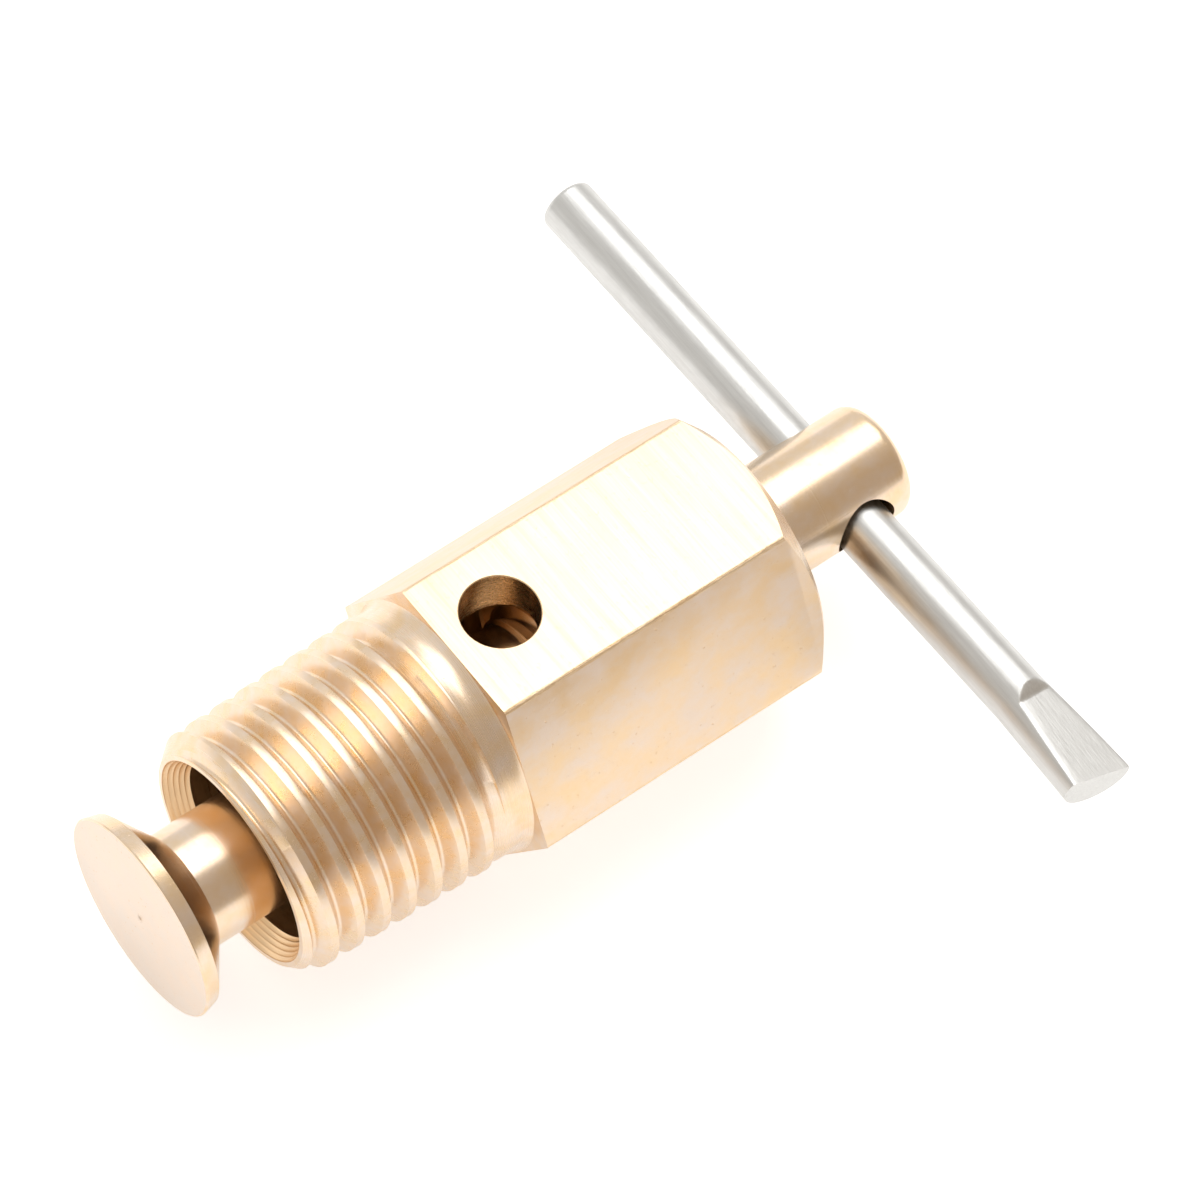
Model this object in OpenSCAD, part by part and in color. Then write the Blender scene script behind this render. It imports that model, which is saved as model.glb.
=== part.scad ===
// Radiator drain valve: a brass body with a tapered thread, a screwed brass spindle and a loose steel tee bar.
// X runs along the valve from the nose to the handle, with x = 0 on the hexagon's shoulder face.
// Z points up, out of the flat that the drain hole is drilled in. The valve lies on the opposite flat.

/* [Hexagon] */
// Width of the hexagon bar across its flats
hex_af = 14.3; // [14.2:0.1:17]
// Length of the hexagon from the shoulder to the handle end
hex_len = 18.1; // [16:0.1:24]
// Width of the bevel along each long edge of the hexagon
edge_bevel = 0.25; // [0.1:0.05:0.5]
// Radius at which the turned chamfer meets the handle end face
chamfer_r = 6.9; // [6.4:0.05:7]
// Length of that chamfer along the hexagon's edges
chamfer_len = 1.1; // [0.6:0.05:1.6]

/* [Outside thread] */
// Length of the threaded shank from the shoulder to the nose
shank_len = 12.9; // [10:0.1:14]
// Thread diameter over the crests, at the shoulder
thread_d = 14; // [13.6:0.1:14]
// Pitch of the thread
thread_pitch = 1.5; // [1:0.25:1.5]
// Depth of the thread from crest to root
thread_depth = 0.9; // [0.5:0.05:0.95]
// Taper of the thread on its diameter, as one part in this many
thread_taper = 16; // [12:1:24]
// Diameter of the nose inside its outer chamfer
nose_d = 11.8; // [11.5:0.1:12]
// Length of that chamfer
nose_chamfer = 0.9; // [0.5:0.1:1.2]

/* [Water way] */
// Diameter of the bore that the water runs through
bore_d = 9.8; // [9:0.1:10]
// Depth of that bore from the nose
bore_depth = 18.6; // [18:0.1:19.5]
// Diameter of the seat cone at the mouth
seat_d = 11.2; // [10.6:0.1:11.4]
// Depth of the seat cone
seat_depth = 1.2; // [0.8:0.1:1.6]
// Diameter of the drain hole
drain_d = 4; // [3:0.1:4.5]
// Distance of the drain hole from the shoulder
drain_x = 3.2; // [2.6:0.05:3.6]
// Distance of the drain hole from the middle of its flat, as drilled
drain_y = 0.5; // [0:0.05:0.8]

/* [Spindle] */
// Diameter of the valve head
head_d = 11; // [10.4:0.1:11.1]
// Distance of the head's front face from the shoulder, with the valve as open as in the photo
head_x = 18.2; // [17:0.05:18.4]
// Width of the head's rim
rim_w = 0.85; // [0.5:0.05:1.2]
// Length of the cone behind the rim
cone_len = 1.6; // [1.2:0.1:2]
// Diameter of the neck and of the stem
stem_d = 6.2; // [5.6:0.1:6.5]
// Diameter of the threaded length, taken at the middle of its thread
screw_d = 7.3; // [7:0.1:7.4]
// Start and end of the threaded length, from the shoulder
screw_from = 4.4; // [4:0.1:5]
screw_to = 12.5; // [10:0.1:13]
// Running gap between that length and its hole, on the radius
screw_gap = 0.05; // [0.03:0.01:0.1]
// Distance of the stem's end from the shoulder
stem_x = 27.1; // [26.5:0.05:28]

/* [Tee bar] */
// Diameter of the bar
bar_d = 3; // [2.5:0.1:3.2]
// Diameter of the cross hole in the stem
cross_d = 3.5; // [3.3:0.05:3.6]
// Distance of the cross hole from the shoulder
cross_x = 23.95; // [23:0.05:24.3]
// Reach of the bar's plain end from the stem's axis
bar_far = 21.3; // [20:0.1:25]
// Reach of the bar's pressed end from the stem's axis
bar_near = 20.8; // [18:0.1:25]
// Length of the pressed end, with its step
press_len = 5.8; // [3:0.1:7]
// Length of the step's slope
press_ramp = 0.6; // [0.2:0.1:1]
// Width of the pressed end at its tip
press_w = 3.65; // [3.6:0.05:3.8]
// Height of the flat over the bar's axis at its step and at the tip
press_z1 = 1.1; // [0.8:0.05:1.3]
press_z2 = 0.55; // [0.3:0.05:0.8]
// Angle that the flat leans towards the handle end
press_lean = 12; // [0:1:20]
// Angle that the bar was cropped at, out of square, at that end
crop_skew = 10; // [0:1:15]
// Angle that the bar stands askew in its loose hole
bar_skew = 0.75; // [0:0.25:1.5]

/* [Hidden] */
$fn = 96;

brass = [0.87, 0.72, 0.45];
brass_satin = [0.85, 0.66, 0.42];
zinc = [0.82, 0.83, 0.82];

over = 1;
corner_r = hex_af / sqrt(3) - edge_bevel / 2 / tan(60);
crest_slope = 1 / thread_taper / 2;
crest_w = 0.22;
root_w = 0.3;
groove_from = 1.3;
turns = floor((shank_len - nose_chamfer - groove_from + crest_w) / thread_pitch);
collar_r = thread_d / 2 + 0.1;
neck_len = 0.8;
neck_sink = 0.15;
screw_hole_r = screw_d / 2 + screw_gap;
drill_tip = (bore_d / 2 - screw_hole_r) / tan(59);
mouth_chamfer = 0.6;
screw_bevel = 0.45;
rim_taper = 0.2;
face_round = 0.1;
pip_d = 0.4;
pip_len = 0.1;
end_round = 0.7;
bar_gap = 0.02;
bar_drop = (cross_d - bar_d) / 2 - bar_gap;
bar_round = 0.3;
press_sag = 0.05;
punch_y = 18.65;
punch_d = 0.7;
punch_depth = 0.25;

// Turns a profile of [x, radius] points round the valve's axis.
module turned(points) {
    rotate([90, 0, 90])
        rotate_extrude()
            polygon([for (p = points) [p[1], p[0]]]);
}

// Radius over the crests at a distance along the axis.
function crest_r(x) = thread_d / 2 + x * crest_slope;

// Profile of one thread groove, whose crest ends at x on the shoulder side.
function groove(x) =
    let (flank = (thread_pitch - crest_w - root_w) / 2)
    [
        [x, crest_r(x)],
        [x - flank, crest_r(x) - thread_depth],
        [x - flank - root_w, crest_r(x) - thread_depth],
        [x - 2 * flank - root_w, crest_r(x - thread_pitch)],
    ];

// Quarter round from a face to a side: centre, radius and the angle it starts from.
function quarter(cx, cr, r, from, to, steps = 6) =
    [for (i = [0:steps]) let (a = from + (to - from) * i / steps) [cx + r * cos(a), cr + r * sin(a)]];

// Solid shank: collar, thread and chamfered nose.
module shank() {
    turned(concat(
        [
            [over, 0],
            [over, collar_r - over],
            [0, collar_r],
            [-neck_len, crest_r(-neck_len) - neck_sink],
            [-groove_from, crest_r(-groove_from) - neck_sink],
        ],
        [for (i = [0:turns - 1]) each groove(-groove_from - i * thread_pitch)],
        [
            [nose_chamfer - shank_len, crest_r(nose_chamfer - shank_len)],
            [-shank_len, nose_d / 2],
            [-shank_len, 0],
        ]
    ));
}

// Hexagon bar with bevelled edges and the turned chamfer at its handle end.
module hexagon() {
    intersection() {
        rotate([0, 90, 0])
            rotate(30)
                cylinder(h = hex_len, r = hex_af / sqrt(3), $fn = 6);
        turned([
            [0, 0],
            [0, corner_r],
            [hex_len - chamfer_len, corner_r],
            [hex_len, chamfer_r],
            [hex_len, 0],
        ]);
    }
}

// Everything that is cut along the axis: seat, bore with its drill tip, and the hole for the spindle.
module water_way() {
    turned([
        [-shank_len - over, 0],
        [-shank_len - over, seat_d / 2],
        [-shank_len, seat_d / 2],
        [-shank_len + seat_depth, bore_d / 2],
        [-shank_len + bore_depth, bore_d / 2],
        [-shank_len + bore_depth + drill_tip, screw_hole_r],
        [hex_len - mouth_chamfer, screw_hole_r],
        [hex_len, screw_hole_r + mouth_chamfer],
        [hex_len + over, screw_hole_r + mouth_chamfer],
        [hex_len + over, 0],
    ]);
}

module body() {
    color(brass)
        difference() {
            union() {
                hexagon();
                shank();
            }
            water_way();
            translate([drain_x, drain_y, 0])
                cylinder(h = hex_af / 2 + over, d = drain_d);
        }
}

module spindle() {
    color(brass_satin)
        difference() {
            turned(concat(
                [[-head_x - pip_len, 0], [-head_x - pip_len, pip_d / 4], [-head_x, pip_d / 2]],
                [[-head_x, head_d / 2 - face_round], [face_round - head_x, head_d / 2]],
                [[rim_w - head_x, head_d / 2 - rim_taper]],
                [[rim_w + cone_len - head_x, stem_d / 2], [screw_from, stem_d / 2]],
                [[screw_from + screw_bevel, screw_d / 2], [screw_to - screw_bevel, screw_d / 2]],
                [[screw_to, stem_d / 2]],
                quarter(stem_x - end_round, stem_d / 2 - end_round, end_round, 90, 0),
                [[stem_x, 0]]
            ));
            translate([cross_x, 0, 0])
                rotate([90, 0, 0])
                    cylinder(h = stem_d + 2 * over, d = cross_d, center = true);
        }
}

// Round bar along Y with softened plain end, standing on its pressed end's step.
module plain_bar() {
    r = bar_d / 2;
    rotate([-90, 0, 0])
        rotate_extrude()
            polygon(concat(
                [[0, press_len - bar_near], [r, press_len - bar_near], [r, bar_far - bar_round]],
                [for (a = [15:15:90]) [r - bar_round + bar_round * cos(a), bar_far - bar_round + bar_round * sin(a)]],
                [[0, bar_far]]
            ));
}

// Pressed end: the bar spread to a cone, with a sloping flat on top below a step, and cropped a little askew.
module pressed_end() {
    r = bar_d / 2;
    difference() {
        rotate([-90, 0, 0])
            translate([0, 0, -bar_near - over])
                cylinder(h = press_len + over, r1 = press_w / 2, r2 = r);
        rotate([0, press_lean, 0]) {
            rotate([90, 0, 90])
                linear_extrude(2 * bar_d, center = true)
                    polygon([
                        [press_len - bar_near, bar_d],
                        [press_len - bar_near, r],
                        [press_len - press_ramp - bar_near, press_z1],
                        [-bar_near, press_z2],
                        [-bar_near - 2 * over, press_z2],
                        [-bar_near - 2 * over, bar_d],
                    ]);
            translate([-bar_d, -bar_near - 2 * over, -r - press_sag - bar_d])
                cube([2 * bar_d, press_len + 2 * over, bar_d]);
        }
        translate([0, -bar_near, 0])
            rotate([0, 0, -crop_skew])
                translate([-bar_d, -2 * over - bar_d, -bar_d])
                    cube([2 * bar_d, 2 * over + bar_d, 2 * bar_d]);
    }
}

module tee_bar() {
    color(zinc)
        translate([cross_x, 0, -bar_drop])
            rotate([0, 0, bar_skew])
                difference() {
                    union() {
                        plain_bar();
                        pressed_end();
                    }
                    translate([0, punch_y, bar_d / 2 - punch_depth])
                        cylinder(h = punch_depth + 0.01, d1 = 0.1, d2 = punch_d);
                }
}

body();
spindle();
tee_bar();
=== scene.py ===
import math

import bpy
from mathutils import Matrix, Vector, noise


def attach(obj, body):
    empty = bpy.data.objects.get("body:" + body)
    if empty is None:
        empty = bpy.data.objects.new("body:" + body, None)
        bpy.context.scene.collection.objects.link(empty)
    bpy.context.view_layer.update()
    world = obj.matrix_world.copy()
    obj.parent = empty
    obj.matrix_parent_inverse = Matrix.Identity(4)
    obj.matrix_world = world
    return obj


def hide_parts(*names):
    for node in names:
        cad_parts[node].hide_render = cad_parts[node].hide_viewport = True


mm = 0.001
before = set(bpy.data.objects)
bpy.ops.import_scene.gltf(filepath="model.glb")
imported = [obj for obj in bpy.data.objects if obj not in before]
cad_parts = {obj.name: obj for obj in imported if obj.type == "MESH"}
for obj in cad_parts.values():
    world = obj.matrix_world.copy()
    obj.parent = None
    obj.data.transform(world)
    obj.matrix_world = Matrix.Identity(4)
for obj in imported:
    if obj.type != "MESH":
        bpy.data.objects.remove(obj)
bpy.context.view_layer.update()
bpy.ops.object.select_all(action="DESELECT")
bpy.context.scene.view_settings.view_transform = "Standard"

# The photo's own viewing angle
photo = {
    "size": 1200,  # pixels a side
    "focal": 6268.1,  # pixels
    "place": (-101.288, -112.497, 264.583),  # mm
    "azimuth": -44.492,  # degrees
    "elevation": 58.906,
    "roll": -8.026,
    "sensor": 36.0,  # mm
}


def aimCamera():
    azimuth, elevation, roll = (math.radians(photo[k]) for k in ("azimuth", "elevation", "roll"))
    level = math.cos(elevation)
    back = Vector((math.sin(azimuth) * level, -math.cos(azimuth) * level, math.sin(elevation)))
    side = (-back).cross(Vector((0, 0, 1))).normalized()
    sink = (-back).cross(side)
    right = math.cos(roll) * side + math.sin(roll) * sink
    down = -math.sin(roll) * side + math.cos(roll) * sink
    bpy.ops.object.camera_add(location=[v * mm for v in photo["place"]])
    camera = bpy.context.object
    camera.name = "camera"
    camera.rotation_euler = Matrix((right, -down, back)).transposed().to_euler()
    camera.data.sensor_width = photo["sensor"]
    camera.data.lens = photo["sensor"] * photo["focal"] / photo["size"]
    camera.data.clip_start = 10 * mm
    camera.data.clip_end = 10
    bpy.context.scene.camera = camera


aimCamera()
print("camera set")


# Nodes: a short way to add one, with its sockets and settings
def addNode(tree, kind, sockets=None, **settings):
    node = tree.nodes.new("ShaderNode" + kind)
    for key, value in settings.items():
        setattr(node, key, value)
    for key, value in (sockets or {}).items():
        if isinstance(value, bpy.types.NodeSocket):
            tree.links.new(value, node.inputs[key])
        else:
            node.inputs[key].default_value = value
    return node


def calc(tree, operation, a, b=0.0, clamp=False):
    return addNode(tree, "Math", {0: a, 1: b}, operation=operation, use_clamp=clamp).outputs[0]


def remap(tree, value, low, high, outLow=0.0, outHigh=1.0):
    sockets = {"Value": value, "From Min": low, "From Max": high, "To Min": outLow, "To Max": outHigh}
    return addNode(tree, "MapRange", sockets).outputs["Result"]


def mixColours(tree, factor, first, second):
    node = addNode(tree, "Mix", {"Factor": factor}, data_type="RGBA")
    for socket, value in ((node.inputs[6], first), (node.inputs[7], second)):
        if isinstance(value, bpy.types.NodeSocket):
            tree.links.new(value, socket)
        else:
            socket.default_value = (*value, 1)
    return node.outputs[2]


def grain(tree, place, size, turn=(0, 0, 0), detail=3.0, rough=0.55, distort=0.0):
    # noise with features of the size given in mm along x, y and z, turned by degrees
    scale = [s * mm for s in size]
    turned = [math.radians(a) for a in turn]
    sockets = {"Vector": place, "Scale": scale, "Rotation": turned}
    spot = addNode(tree, "Mapping", sockets, vector_type="TEXTURE").outputs[0]
    sockets = {"Vector": spot, "Scale": 1.0, "Detail": detail, "Roughness": rough, "Distortion": distort}
    return addNode(tree, "TexNoise", sockets).outputs["Fac"]


def addHeights(tree, shader, heights):
    # each height is a factor and the depth in mm that it stands for
    total = None
    for factor, depth in heights:
        part = calc(tree, "MULTIPLY", factor, depth)
        total = part if total is None else calc(tree, "ADD", total, part)
    bump = addNode(tree, "Bump", {"Height": total, "Strength": 1.0, "Distance": mm})
    tree.links.new(bump.outputs[0], shader.inputs["Normal"])


def newMetal(name):
    material = bpy.data.materials.new(name)
    material.use_nodes = True
    tree = material.node_tree
    shader = tree.nodes["Principled BSDF"]
    shader.inputs["Metallic"].default_value = 1.0
    place = addNode(tree, "TexCoord").outputs["Object"]
    return material, tree, shader, place


# Floor, lamps and surroundings
studio = {
    "floorSize": 1600,  # mm
    "floorDrop": 7.15,  # mm under the valve's axis
    "floorGrey": 0.8,
    "cameraGlow": 0.62,
    "mirrorGlow": 0.55,
    "boxPlace": (250, 220, 620),  # mm, big softbox
    "boxSize": (560, 640),
    "boxLevel": 1.5,
    "hotPlace": (234, 70, 600),  # mm, its bright middle
    "hotSize": (160, 160),
    "hotLevel": 1.3,
    "frontLevel": 0.5,
    "backLevel": 0.82,
    "frontTint": (1.0, 0.86, 0.72),
    "backTint": (1.0, 0.97, 0.93),
}


def floorMaterial():
    material = bpy.data.materials.new("palePaper")
    material.use_nodes = True
    tree = material.node_tree
    shader = tree.nodes["Principled BSDF"]
    shader.inputs["Base Color"].default_value = (studio["floorGrey"],) * 3 + (1,)
    shader.inputs["Roughness"].default_value = 1.0
    shader.inputs["Specular IOR Level"].default_value = 0.0
    path = addNode(tree, "LightPath")
    seen = calc(tree, "MULTIPLY", path.outputs["Is Camera Ray"], studio["cameraGlow"])
    mirrored = calc(tree, "MAXIMUM", path.outputs["Is Glossy Ray"], path.outputs["Is Transmission Ray"])
    mirrored = calc(tree, "MULTIPLY", mirrored, studio["mirrorGlow"])
    glow = calc(tree, "MAXIMUM", seen, mirrored)
    shader.inputs["Emission Color"].default_value = (1, 1, 1, 1)
    tree.links.new(glow, shader.inputs["Emission Strength"])
    return material


def makeFloor():
    half = studio["floorSize"] * mm
    bpy.ops.mesh.primitive_plane_add(size=half, location=(0, 0, -studio["floorDrop"] * mm))
    floor = bpy.context.object
    floor.name = "floor"
    bpy.ops.object.transform_apply(location=True)
    floor.data.materials.append(floorMaterial())


def addSoftbox(name, place, size, level):
    # an area lamp turned to the valve, as bright as level times a white surface
    width, depth = size[0] * mm, size[1] * mm
    spot = Vector(place) * mm
    bpy.ops.object.light_add(type="AREA", location=spot)
    lamp = bpy.context.object
    lamp.name = name
    lamp.rotation_euler = spot.to_track_quat("Z", "Y").to_euler()
    lamp.data.shape = "RECTANGLE"
    lamp.data.size = width
    lamp.data.size_y = depth
    lamp.data.energy = level * math.pi * width * depth


def lightStudio():
    addSoftbox("softbox", studio["boxPlace"], studio["boxSize"], studio["boxLevel"])
    addSoftbox("softboxMiddle", studio["hotPlace"], studio["hotSize"], studio["hotLevel"])
    world = bpy.data.worlds.new("studio")
    bpy.context.scene.world = world
    world.use_nodes = True
    tree = world.node_tree
    background = tree.nodes["Background"]
    way = addNode(tree, "SeparateXYZ", {0: addNode(tree, "TexCoord").outputs["Generated"]})
    toBack = remap(tree, way.outputs["Y"], -0.6, 0.6)
    front = [studio["frontLevel"] * c for c in studio["frontTint"]]
    rear = [studio["backLevel"] * c for c in studio["backTint"]]
    tree.links.new(mixColours(tree, toBack, front, rear), background.inputs["Color"])
    background.inputs["Strength"].default_value = 1.0


makeFloor()
lightStudio()
print("floor and lamps set")


# Hand tools that every piece is shaped with
def pick(obj):
    bpy.ops.object.select_all(action="DESELECT")
    obj.select_set(True)
    bpy.context.view_layer.objects.active = obj


def enterEdit(obj, kind="VERT", action="SELECT"):
    pick(obj)
    bpy.ops.object.mode_set(mode="EDIT")
    bpy.ops.mesh.select_mode(type=kind)
    if action:
        bpy.ops.mesh.select_all(action=action)


def leaveEdit():
    bpy.ops.object.mode_set(mode="OBJECT")


def settle(obj):
    pick(obj)
    bpy.ops.object.transform_apply(location=True, rotation=True, scale=True)


def standAt(obj, place=(0, 0, 0), turn=(0, 0, 0)):
    obj.location = [v * mm for v in place]
    obj.rotation_euler = [math.radians(a) for a in turn]
    settle(obj)


def selectWhere(obj, kind, test):
    # kind is VERT, EDGE or FACE, and the edit mode is entered with what passes the test
    mesh = obj.data
    for group in (mesh.vertices, mesh.edges, mesh.polygons):
        group.foreach_set("select", [False] * len(group))
    group = {"VERT": mesh.vertices, "EDGE": mesh.edges, "FACE": mesh.polygons}[kind]
    group.foreach_set("select", [bool(test(item)) for item in group])
    enterEdit(obj, kind, None)


def giveMaterial(obj, material, test=None):
    # the whole piece, or the faces that pass the test
    if test is None:
        obj.data.materials.clear()
        obj.data.materials.append(material)
        return
    if material.name not in obj.data.materials:
        obj.data.materials.append(material)
    index = obj.data.materials.find(material.name)
    for face in obj.data.polygons:
        if test(face):
            face.material_index = index


def turnBlank(name, stations, around=192):
    # a solid turned round X, drawn from its [x, radius] stations in mm
    x0, r0 = stations[0]
    quarter = math.pi / 2
    bpy.ops.mesh.primitive_circle_add(
        vertices=around, radius=r0 * mm, fill_type="NGON", location=(x0 * mm, 0, 0), rotation=(0, quarter, 0)
    )
    blank = bpy.context.object
    blank.name = name
    settle(blank)
    enterEdit(blank)
    for (xa, ra), (xb, rb) in zip(stations, stations[1:]):
        bpy.ops.mesh.extrude_region_move(TRANSFORM_OT_translate={"value": ((xb - xa) * mm, 0, 0)})
        bpy.ops.transform.resize(value=(1, rb / ra, rb / ra), center_override=(xb * mm, 0, 0))
    bpy.ops.mesh.select_all(action="SELECT")
    bpy.ops.mesh.normals_make_consistent(inside=False)
    leaveEdit()
    return blank


def threadRod(name, outline, pitch, firstCrest, turns, taper=0.0, steps=192):
    # outline: one pitch of [x, radius] points in mm from crest middle to crest middle
    bpy.ops.mesh.primitive_plane_add(size=mm, location=(0, 0, 0))
    rod = bpy.context.object
    rod.name = name
    enterEdit(rod)
    bpy.ops.mesh.merge(type="CENTER")
    start = outline[0]
    bpy.ops.transform.translate(value=((firstCrest + start[0]) * mm, start[1] * mm, 0))
    for (xa, ra), (xb, rb) in zip(outline, outline[1:]):
        bpy.ops.mesh.extrude_vertices_move(TRANSFORM_OT_translate={"value": ((xb - xa) * mm, (rb - ra) * mm, 0)})
    leaveEdit()
    screw = rod.modifiers.new("turns", "SCREW")
    screw.axis = "X"
    screw.angle = 2 * math.pi
    screw.screw_offset = pitch * mm
    screw.iterations = turns
    screw.steps = screw.render_steps = steps
    screw.use_merge_vertices = False
    bpy.ops.object.modifier_apply(modifier=screw.name)
    enterEdit(rod)
    bpy.ops.mesh.remove_doubles(threshold=1e-7)
    leaveEdit()
    for vertex in rod.data.vertices:
        grow = 1 + taper * vertex.co.x / mm
        vertex.co.y *= grow
        vertex.co.z *= grow
    middle = (firstCrest + pitch * (turns + 1) / 2) * mm
    for sign in (-1, 1):
        closeRodEnd(rod, middle, sign)
    enterEdit(rod)
    bpy.ops.mesh.normals_make_consistent(inside=False)
    leaveEdit()
    return rod


def closeRodEnd(rod, middle, sign):
    # the open end on one side of the middle is drawn in to a point on the axis
    uses = [0] * len(rod.data.edges)
    for loop in rod.data.loops:
        uses[loop.edge_index] += 1
    points = rod.data.vertices

    def onRim(edge):
        return uses[edge.index] == 1 and all((points[i].co.x - middle) * sign > 0 for i in edge.vertices)

    selectWhere(rod, "EDGE", onRim)
    bpy.ops.mesh.extrude_edges_move()
    bpy.ops.mesh.merge(type="CENTER")
    leaveEdit()


def machine(work, tool, operation="DIFFERENCE"):
    step = work.modifiers.new("step", "BOOLEAN")
    step.operation = operation
    step.object = tool
    step.solver = "MANIFOLD"
    step.material_mode = "TRANSFER"
    pick(work)
    bpy.ops.object.modifier_apply(modifier=step.name)
    bpy.data.objects.remove(tool)


def smooth(obj, angle=30):
    pick(obj)
    bpy.ops.object.shade_smooth_by_angle(angle=math.radians(angle))


def wobble(obj, test, size, amount, seed=0.0):
    # moves the points that pass the test by a smooth noise, size and amount in mm
    for vertex in obj.data.vertices:
        if test(vertex.co):
            spot = vertex.co / (size * mm) + Vector((seed, seed, seed))
            vertex.co += noise.noise_vector(spot) * amount * mm


# Brass and zinc finishes
metals = {
    "brass": (0.88, 0.66, 0.42),
    "brassDeep": (0.80, 0.55, 0.31),
    # brassPale is also the painted highlight tone of the upward flat; on the edge strips it is plain grain
    "brassPale": (0.93, 0.76, 0.55),
    "brassPink": (0.88, 0.74, 0.62),
    "zinc": (0.80, 0.81, 0.80),
    "zincDark": (0.55, 0.55, 0.54),
}


def planedBrassPaintedHighlight():
    # the drilled flat: fine lines across it and a few dimples, and a paler tone that is partly painted highlight,
    # standing in for the softbox's glare on this upward flat
    material, tree, shader, place = newMetal("planedBrassPaintedHighlight")
    lines = grain(tree, place, (0.11, 7, 7), detail=4, rough=0.7, distort=0.3)
    waves = grain(tree, place, (0.6, 9, 9), detail=2)
    dimples = remap(tree, grain(tree, place, (0.25, 0.35, 0.3), detail=2), 0.62, 0.72)
    tone = remap(tree, lines, 0.3, 0.7)
    # painted highlight: brassPale makes the upward flat paler than the other flats, laid along its real fine lines
    colour = mixColours(tree, tone, metals["brass"], metals["brassPale"])
    tree.links.new(colour, shader.inputs["Base Color"])
    tree.links.new(remap(tree, waves, 0.3, 0.7, 0.3, 0.4), shader.inputs["Roughness"])
    addHeights(tree, shader, [(lines, 0.006), (waves, 0.01), (dimples, -0.006)])
    return material


def drawnBrass():
    # the other flats: mottled, with tiny pits, faint streaks and light scratches
    material, tree, shader, place = newMetal("drawnBrass")
    patches = grain(tree, place, (2.2, 1.6, 1.6), detail=5, rough=0.6)
    streaks = grain(tree, place, (6, 0.12, 0.12), detail=3)
    pits = remap(tree, grain(tree, place, (0.22, 0.16, 0.16), detail=1), 0.72, 0.78)
    scratches = remap(tree, grain(tree, place, (5, 0.09, 0.09), turn=(0, 0, 9), detail=1), 0.72, 0.76)
    colour = mixColours(tree, remap(tree, patches, 0.35, 0.65), metals["brass"], metals["brassPink"])
    colour = mixColours(tree, remap(tree, pits, 0, 1, 0, 0.5), colour, metals["brassDeep"])
    tree.links.new(colour, shader.inputs["Base Color"])
    tree.links.new(remap(tree, patches, 0.3, 0.7, 0.3, 0.42), shader.inputs["Roughness"])
    addHeights(tree, shader, [(patches, 0.01), (streaks, 0.002), (pits, -0.008), (scratches, -0.003)])
    return material


def edgeBrass():
    # the narrow bevels between the flats: torn lines along the bar
    material, tree, shader, place = newMetal("edgeBrass")
    lines = grain(tree, place, (3, 0.05, 0.05), detail=3, rough=0.7)
    tears = grain(tree, place, (0.35, 0.12, 0.12), detail=3, rough=0.7)
    colour = mixColours(tree, remap(tree, lines, 0.35, 0.6), metals["brassDeep"], metals["brassPale"])
    tree.links.new(colour, shader.inputs["Base Color"])
    tree.links.new(remap(tree, tears, 0.3, 0.7, 0.28, 0.45), shader.inputs["Roughness"])
    addHeights(tree, shader, [(lines, 0.02), (tears, 0.02)])
    return material


def turnedBrass(name="turnedBrass", ring=0.1, depth=0.002, low=0.24, high=0.32):
    # rings left by the lathe tool round X
    material, tree, shader, place = newMetal(name)
    rings = grain(tree, place, (ring, 40, 40), detail=2, rough=0.6)
    patches = grain(tree, place, (1.5, 1.2, 1.2), detail=4)
    specks = remap(tree, grain(tree, place, (0.12, 0.12, 0.12), detail=1), 0.74, 0.8)
    colour = mixColours(tree, remap(tree, patches, 0.3, 0.7), metals["brass"], metals["brassPink"])
    tree.links.new(colour, shader.inputs["Base Color"])
    tree.links.new(remap(tree, rings, 0.3, 0.7, low, high), shader.inputs["Roughness"])
    addHeights(tree, shader, [(rings, depth), (patches, 0.004), (specks, -0.006)])
    return material


def threadedBrass():
    # the die's streaks run round the thread
    material, tree, shader, place = newMetal("threadedBrass")
    rings = grain(tree, place, (0.07, 30, 30), detail=3, rough=0.6)
    patches = grain(tree, place, (0.9, 0.9, 0.9), detail=4)
    specks = remap(tree, grain(tree, place, (0.1, 0.1, 0.1), detail=1), 0.72, 0.78)
    colour = mixColours(tree, remap(tree, patches, 0.3, 0.7), metals["brass"], metals["brassPink"])
    tree.links.new(colour, shader.inputs["Base Color"])
    tree.links.new(remap(tree, patches, 0.3, 0.7, 0.24, 0.34), shader.inputs["Roughness"])
    addHeights(tree, shader, [(rings, 0.0015), (patches, 0.004), (specks, 0.006)])
    return material


def boredBrass():
    material, tree, shader, place = newMetal("boredBrass")
    rings = grain(tree, place, (0.16, 40, 40), detail=2, rough=0.6)
    tree.links.new(mixColours(tree, rings, metals["brassDeep"], metals["brass"]), shader.inputs["Base Color"])
    tree.links.new(remap(tree, rings, 0.3, 0.7, 0.25, 0.38), shader.inputs["Roughness"])
    addHeights(tree, shader, [(rings, 0.006)])
    return material


def drilledBrass():
    material, tree, shader, place = newMetal("drilledBrass")
    rings = grain(tree, place, (9, 9, 0.12), detail=3, rough=0.7)
    tears = grain(tree, place, (0.25, 0.25, 0.12), detail=4, rough=0.7)
    tree.links.new(mixColours(tree, rings, metals["brassDeep"], metals["brass"]), shader.inputs["Base Color"])
    tree.links.new(remap(tree, tears, 0.3, 0.7, 0.2, 0.35), shader.inputs["Roughness"])
    addHeights(tree, shader, [(rings, 0.02), (tears, 0.012)])
    return material


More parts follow.
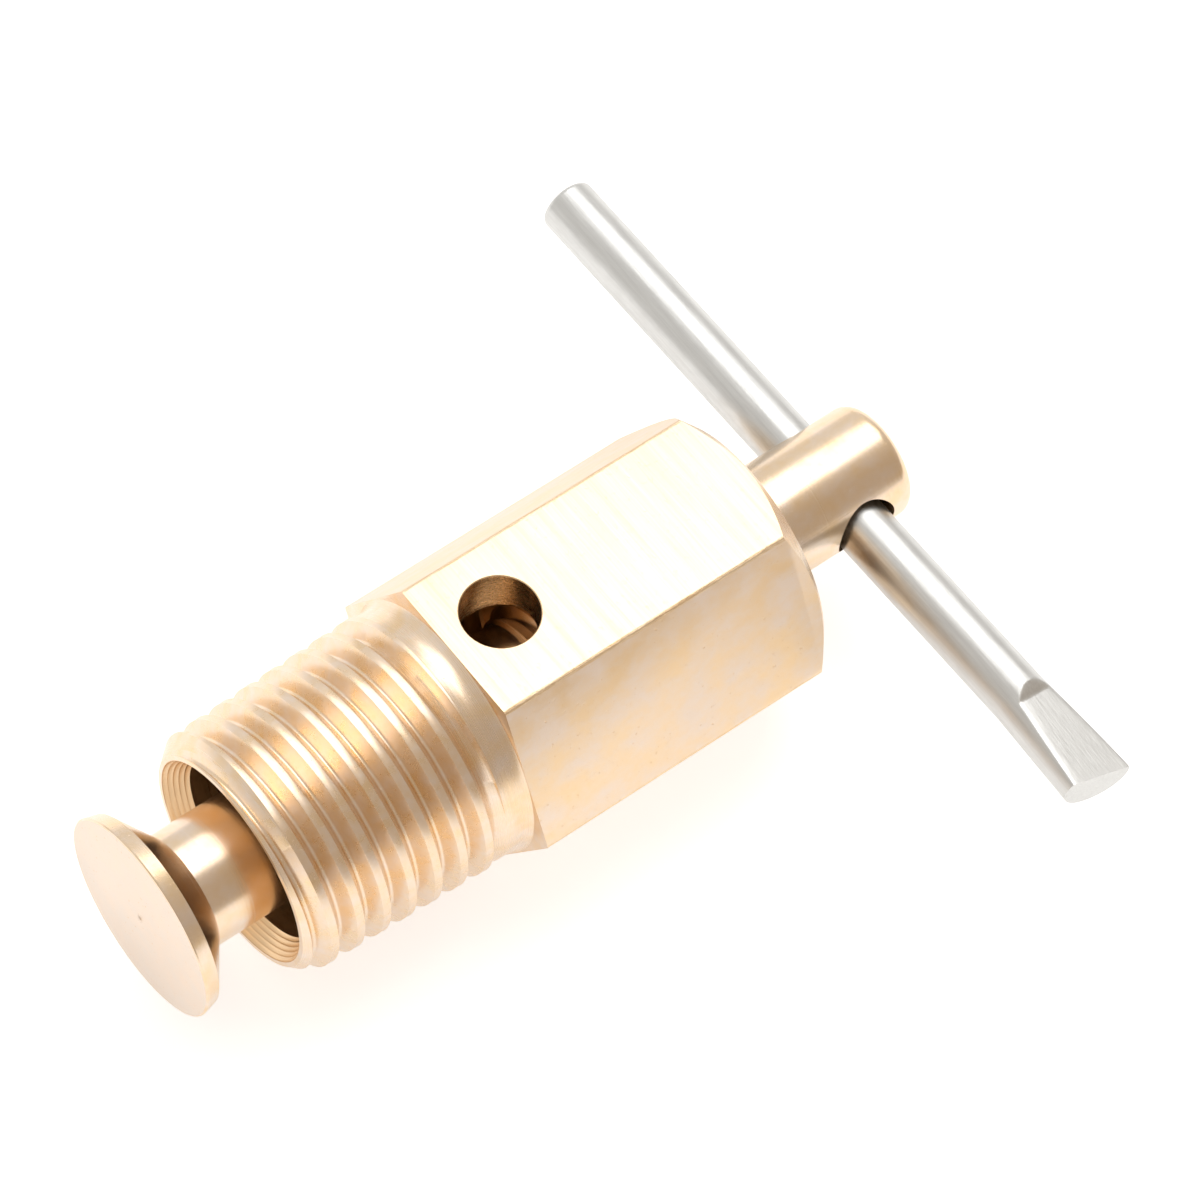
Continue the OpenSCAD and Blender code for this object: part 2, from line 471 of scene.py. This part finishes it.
def partedBrass():
    # the head's front face: matt, pinkish and pitted
    material, tree, shader, place = newMetal("partedBrass")
    patches = grain(tree, place, (1.2, 1.2, 1.2), detail=5)
    pits = remap(tree, grain(tree, place, (0.2, 0.2, 0.2), detail=1), 0.7, 0.76)
    colour = mixColours(tree, remap(tree, patches, 0.3, 0.7), metals["brassPink"], (0.86, 0.76, 0.67))
    colour = mixColours(tree, remap(tree, pits, 0, 1, 0, 0.6), colour, metals["brassDeep"])
    tree.links.new(colour, shader.inputs["Base Color"])
    tree.links.new(remap(tree, patches, 0.3, 0.7, 0.42, 0.52), shader.inputs["Roughness"])
    addHeights(tree, shader, [(patches, 0.008), (pits, -0.01)])
    return material


def zincPlate():
    material, tree, shader, place = newMetal("zincPlate")
    streaks = grain(tree, place, (0.12, 3.5, 0.12), detail=4, rough=0.65)
    patches = grain(tree, place, (0.5, 0.9, 0.5), detail=4)
    tree.links.new(mixColours(tree, streaks, metals["zincDark"], metals["zinc"]), shader.inputs["Base Color"])
    tree.links.new(remap(tree, patches, 0.3, 0.7, 0.28, 0.42), shader.inputs["Roughness"])
    addHeights(tree, shader, [(streaks, 0.008), (patches, 0.006)])
    return material


def pressedZinc():
    material, tree, shader, place = newMetal("pressedZinc")
    cells = grain(tree, place, (0.18, 0.3, 0.18), detail=2, rough=0.5)
    tree.links.new(mixColours(tree, cells, metals["zincDark"], metals["zinc"]), shader.inputs["Base Color"])
    shader.inputs["Roughness"].default_value = 0.25
    addHeights(tree, shader, [(cells, 0.05)])
    return material


# Valve body: hexagon bar, threaded shank, water way and drain hole
bodyPlan = {
    "flats": 14.3,  # mm across the hexagon's flats
    "length": 18.1,  # shoulder to handle end
    "bevel": 0.25,  # width of the strip between two flats
    "endRadius": 6.9,  # where the turned chamfer meets the end face
    "endSlope": 1.167,
    "nose": 12.9,  # nose to shoulder
    "noseRadius": 5.87,
    "noseChamfer": 0.9,
    "neckRadius": 6.83,
    "collarRadius": 7.1,
    "crestRadius": 7.0,  # at the shoulder, over the thread
    "taper": 1 / 32,  # on the radius
    "pitch": 1.5,
    "crest": 0.44,  # width of the thread's flat top
    "root": 0.16,  # radius of the thread's rounded root
    "firstCrest": -13.77,  # crest middle at the start of the helix
    "bore": 4.9,  # radius
    "boreDepth": 18.6,
    "land": 5.61,  # inner radius of the nose's end face
    "seatDepth": 1.15,
    "spindleHole": 3.7,
    "drain": 2.0,  # radius
    "drainPlace": (3.2, 0.5),
}


def threadOutline(crest, pitch, top, root, lip=0.0, arcSteps=6):
    # flat crest, straight 30 degree flanks and a rounded root, from crest middle to crest middle
    lean = math.radians(30)
    reach = pitch / 2 - crest / 2
    depth = reach / math.tan(lean) - root
    bottom = top - depth
    points = [(0, top), (crest / 2 - 0.04, top), (crest / 2, top + lip)]
    for i in range(arcSteps + 1):
        turn = (math.pi / 2 - lean) * (1 - i / arcSteps)
        points.append((pitch / 2 - root * math.sin(turn), bottom + root * (1 - math.cos(turn))))
    mirrored = [(pitch - x, r) for x, r in reversed(points[:-1])]
    return points + mirrored


def makeHexagon():
    plan = bodyPlan
    corner = plan["flats"] / math.sqrt(3)
    spare = 1.0
    bpy.ops.mesh.primitive_cylinder_add(
        vertices=6,
        radius=corner * mm,
        depth=(plan["length"] + 2 * spare) * mm,
        location=(plan["length"] / 2 * mm, 0, 0),
        rotation=(0, math.pi / 2, 0),
    )
    hexagon = bpy.context.object
    hexagon.name = "hexagon"
    settle(hexagon)
    points = hexagon.data.vertices

    def alongBar(edge):
        a, b = (points[i].co for i in edge.vertices)
        return abs(a.x - b.x) > mm

    selectWhere(hexagon, "EDGE", alongBar)
    bpy.ops.mesh.bevel(offset=plan["bevel"] * mm, offset_type="WIDTH", segments=3, profile=0.5)
    leaveEdit()
    giveMaterial(hexagon, looks["drawn"])
    # the upward flat gets the planed finish, whose paler tone is painted highlight
    giveMaterial(hexagon, looks["planed"], lambda face: face.normal.z > 0.99)
    giveMaterial(hexagon, looks["edge"], lambda face: face.area < plan["bevel"] * (plan["length"] + 2) * mm * mm)
    reach = 1.3
    ends = turnBlank("ends", [
        (0, corner + 0.2),
        (plan["length"] - reach, plan["endRadius"] + reach * plan["endSlope"]),
        (plan["length"], plan["endRadius"]),
    ])
    giveMaterial(ends, looks["turned"])
    machine(hexagon, ends, "INTERSECT")
    return hexagon


def makeShank():
    plan = bodyPlan
    top = plan["crestRadius"]
    outline = threadOutline(plan["crest"], plan["pitch"], top, plan["root"], lip=0.012)
    rod = threadRod("shank", outline, plan["pitch"], plan["firstCrest"] - plan["pitch"], 11, plan["taper"] / top)
    giveMaterial(rod, looks["threaded"])
    nose = -plan["nose"]
    slope = (top + (nose + plan["noseChamfer"]) * plan["taper"] - plan["noseRadius"]) / plan["noseChamfer"]
    clear = 0.15
    neck = plan["neckRadius"]
    skin = turnBlank("skin", [
        (nose, plan["noseRadius"]),
        (nose + plan["noseChamfer"] + clear, plan["noseRadius"] + slope * (plan["noseChamfer"] + clear)),
        (-1.5, top + clear),
        (-1.4, neck - 0.03),
        (0.9, neck - 0.03),
    ])
    giveMaterial(skin, looks["turned"])
    machine(rod, skin, "INTERSECT")
    core = turnBlank("core", [
        (-2.7, neck - 1.0),
        (-2.35, neck - 0.72),
        (-1.9, neck - 0.35),
        (-1.5, neck - 0.06),
        (-1.35, neck),
        (-0.8, neck),
        (-0.5, neck + 0.03),
        (-0.25, neck + 0.1),
        (-0.08, neck + 0.2),
        (0.0, plan["collarRadius"]),
        (0.95, plan["collarRadius"]),
    ])
    giveMaterial(core, looks["turned"])
    machine(rod, core, "UNION")
    return rod


def waterWay():
    plan = bodyPlan
    nose = -plan["nose"]
    rings = 5
    step = plan["seatDepth"] / rings
    drop = (plan["land"] - plan["bore"]) / rings
    stations = [(nose - 1, plan["land"]), (nose, plan["land"])]
    for i in range(rings):
        x, r = nose + i * step, plan["land"] - i * drop
        stations += [(x + step * 0.3, r - drop * 0.1), (x + step * 0.85, r - drop * 0.75), (x + step, r - drop)]
    tipLength = (plan["bore"] - plan["spindleHole"]) / math.tan(math.radians(59))
    end = nose + plan["boreDepth"]
    stations += [(end, plan["bore"]), (end + tipLength, plan["spindleHole"])]
    stations += [(plan["length"] - 0.6, plan["spindleHole"]), (plan["length"] + 0.4, plan["spindleHole"] + 1.0)]
    way = turnBlank("waterWay", stations)
    giveMaterial(way, looks["bored"])
    return way


def drainDrill():
    plan = bodyPlan
    face = plan["flats"] / 2
    r = plan["drain"]
    stations = [(0, r)]
    steps = 26
    for i in range(1, steps):
        height = 4.3 + (face - 4.3) * i / steps
        stations.append((height, r + 0.025 * noise.noise(Vector((i * 0.7, 0, 0)))))
    stations += [(face - 0.04, r), (face, r + 0.05), (face + 1, r + 0.05)]
    drill = turnBlank("drill", stations)
    standAt(drill, (*plan["drainPlace"], 0), (0, -90, 0))
    giveMaterial(drill, looks["drilled"])
    return drill


def makeBody():
    body = makeHexagon()
    machine(body, makeShank(), "UNION")
    machine(body, waterWay())
    machine(body, drainDrill())
    body.name = "valveBody"
    smooth(body)
    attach(body, "body")
    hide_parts("body")
    return body


# Spindle: head, neck, screw and the stem with its cross hole
spindlePlan = {
    "headRadius": 5.5,
    "headFace": -18.2,
    "rim": 0.85,
    "rimDrop": 0.2,
    "coneLength": 1.6,
    "stemRadius": 3.1,
    "screwStart": 4.4,
    "screwEnd": 12.5,
    "screwTop": 3.64,
    "screwPitch": 1.25,
    "stemEnd": 27.1,
    "endRound": 0.7,
    "cross": 1.75,  # radius
    "crossPlace": 23.95,
}


def makeSpindle():
    plan = spindlePlan
    front, top, stem = plan["headFace"], plan["headRadius"], plan["stemRadius"]
    rear = front + plan["rim"]
    stations = [(front - 0.1, 0.1), (front - 0.06, 0.17), (front, 0.22), (front, top - 0.1)]
    stations += [(front + 0.03, top - 0.03), (front + 0.1, top), (rear, top - plan["rimDrop"])]
    stations += [(rear + plan["coneLength"], stem), (plan["screwStart"] - 0.3, stem), (plan["screwEnd"] + 0.3, stem)]
    round0 = plan["stemEnd"] - plan["endRound"]
    for i in range(7):
        turn = math.radians(15 * i)
        stations.append((round0 + plan["endRound"] * math.sin(turn), stem - plan["endRound"] * (1 - math.cos(turn))))
    spindle = turnBlank("valveSpindle", stations)
    giveMaterial(spindle, looks["spindle"])
    giveMaterial(spindle, looks["parted"], lambda face: face.center.x < (front + 0.01) * mm)
    outline = threadOutline(0.2, plan["screwPitch"], plan["screwTop"], 0.1)
    turns = 11
    rod = threadRod("screw", outline, plan["screwPitch"], plan["screwStart"] - 2.6, turns, steps=96)
    giveMaterial(rod, looks["spindle"])
    limits = turnBlank("limits", [
        (plan["screwStart"], stem - 0.4),
        (plan["screwStart"] + 0.6, plan["screwTop"] + 0.2),
        (plan["screwEnd"] - 0.6, plan["screwTop"] + 0.2),
        (plan["screwEnd"], stem - 0.4),
    ], 96)
    machine(rod, limits, "INTERSECT")
    machine(spindle, rod, "UNION")
    cross = turnBlank("cross", [(-4, plan["cross"] + 0.3), (-3.15, plan["cross"] + 0.02), (-2.9, plan["cross"]),
                                (2.9, plan["cross"]), (3.15, plan["cross"] + 0.02), (4, plan["cross"] + 0.3)], 96)
    standAt(cross, (plan["crossPlace"], 0, 0), (0, 0, 90))
    giveMaterial(cross, looks["bored"])
    machine(spindle, cross)
    smooth(spindle)
    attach(spindle, "spindle")
    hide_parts("spindle")
    return spindle


# Tee bar: loose zinc-plated bar with one pressed end
barPlan = {
    "radius": 1.5,
    "far": 21.3,  # plain end, from the stem's axis
    "near": 20.8,  # pressed end
    "round": 0.3,
    "skew": 0.75,  # degrees
    "drop": 0.23,  # mm below the valve's axis
    "stepStart": -15.0,
    "stepLength": 0.6,
    "flatHigh": 1.1,  # flat's height over the bar's axis at the step
    "flatLow": 0.55,  # and at the tip
    "lean": 12,  # degrees
    "tipHalf": 1.825,  # half the width at the tip
    "sag": 0.05,
    "crop": 10,  # degrees out of square
}


def pressTip(bar):
    # spreads the end sideways and presses its top to the sloping flat
    plan = barPlan
    r = plan["radius"]
    start, tip = plan["stepStart"], -plan["near"]
    lean = math.radians(plan["lean"])
    for vertex in bar.data.vertices:
        t, across, up = vertex.co.x / mm, -vertex.co.y / mm, vertex.co.z / mm
        if t > start:
            continue
        along = min(1.0, (start - t) / (start - tip))
        spread = 1 + (plan["tipHalf"] / r - 1) * along
        across *= spread
        ramp = min(1.0, (start - t) / plan["stepLength"])
        fall = (start - plan["stepLength"] - t) / (start - plan["stepLength"] - tip)
        flat = plan["flatHigh"] + (plan["flatLow"] - plan["flatHigh"]) * max(0.0, fall)
        height = r + 0.02 + (flat - r) * ramp
        leanUp = up * math.cos(lean) + across * math.sin(lean)
        if leanUp > height - 0.12:
            over = leanUp - height
            soft = 0.12
            pressed = height - soft * math.exp(-(over + soft) / soft)
            up += (pressed - leanUp) / math.cos(lean)
        vertex.co.y, vertex.co.z = -across * mm, up * mm


def makeTeeBar():
    plan = barPlan
    r = plan["radius"]
    start, tip = plan["stepStart"], -plan["near"]
    stations = [(tip - 1.2, r), (tip - 0.6, r)]
    t = tip - 0.5
    while t < start + 0.3:
        stations.append((t, r))
        t += 0.08
    stations.append((plan["far"] - plan["round"], r))
    for i in range(1, 6):
        turn = math.radians(16 * i)
        stations.append((
            plan["far"] - plan["round"] * (1 - math.sin(turn)),
            r - plan["round"] * (1 - math.cos(turn)),
        ))
    bar = turnBlank("teeBar", stations)
    pressTip(bar)
    giveMaterial(bar, looks["zinc"])
    standAt(bar, (0, 0, 0), (0, 0, 90))
    crop = turnBlank("crop", [(0, 8), (8, 8)], 48)
    standAt(crop, (0, tip, 0), (0, 0, -90 - plan["crop"]))
    giveMaterial(crop, looks["zinc"])
    machine(bar, crop)
    standAt(bar, (spindlePlan["crossPlace"], 0, -plan["drop"]), (0, 0, plan["skew"]))
    smooth(bar, 35)
    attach(bar, "tee_bar")
    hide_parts("tee_bar")
    return bar


looks = {
    "planed": planedBrassPaintedHighlight(),
    "drawn": drawnBrass(),
    "edge": edgeBrass(),
    "turned": turnedBrass(),
    "spindle": turnedBrass("spindleBrass", 0.1, 0.003, 0.2, 0.28),
    "threaded": threadedBrass(),
    "bored": boredBrass(),
    "drilled": drilledBrass(),
    "parted": partedBrass(),
    "zinc": zincPlate(),
    "pressed": pressedZinc(),
}
makeBody()
print("valve body made")
makeSpindle()
print("spindle made")
makeTeeBar()
print("tee bar made")
